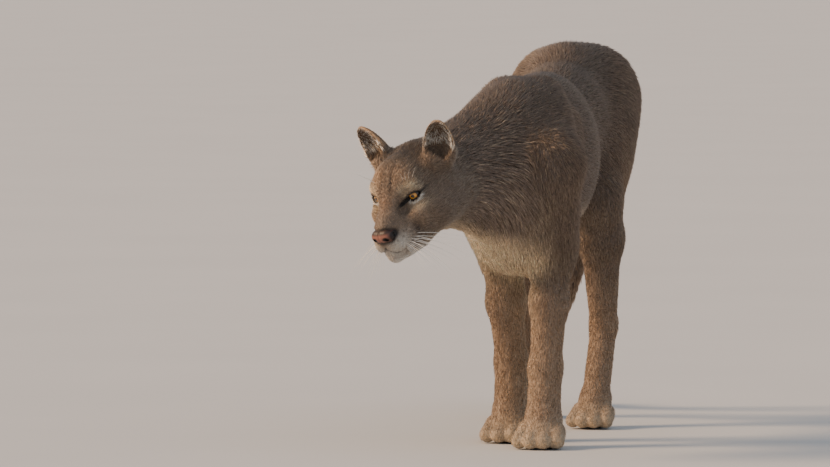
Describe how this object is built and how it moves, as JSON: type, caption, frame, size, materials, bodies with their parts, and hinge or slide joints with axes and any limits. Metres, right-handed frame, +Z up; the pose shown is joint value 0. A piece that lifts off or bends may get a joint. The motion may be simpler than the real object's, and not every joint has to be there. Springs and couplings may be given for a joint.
{
  "type": "cougar, still life-size animal model",
  "caption": "Still, life-size model of an adult cougar in mid-stride, with its head lowered and turned and its tail hanging to a curl.",
  "frame": {"origin": "middle of the bounding box, on the floor under the belly", "axes": "+Z up, -X the way the animal walks, -Y its left side"},
  "size_m": [1.3298, 0.3736, 0.6999],
  "materials": {
    "fur": "short dense coat, tawny grey-brown, cream below",
    "eye": "wet glossy amber eye with a black pupil",
    "nose_leather": "moist pink-brown nose leather with a dark rim"
  },
  "bodies": {
    "root": {"foreleg_left_upper": "fur", "foreleg_left_lower": "fur", "foreleg_left_paw": "fur", "foreleg_right_upper": "fur", "foreleg_right_lower": "fur", "foreleg_right_paw": "fur", "hindleg_left_upper": "fur", "hindleg_left_lower": "fur", "hindleg_left_paw": "fur", "hindleg_right_upper": "fur", "hindleg_right_lower": "fur", "hindleg_right_paw": "fur", "torso": "fur", "neck": "fur", "tail_root": "fur", "tail_middle": "fur", "tail_tip": "fur", "head": "fur", "nose": "nose_leather", "eye_left": "eye", "eye_right": "eye", "ear_left": "fur", "ear_right": "fur"}
  },
  "joints": []
}
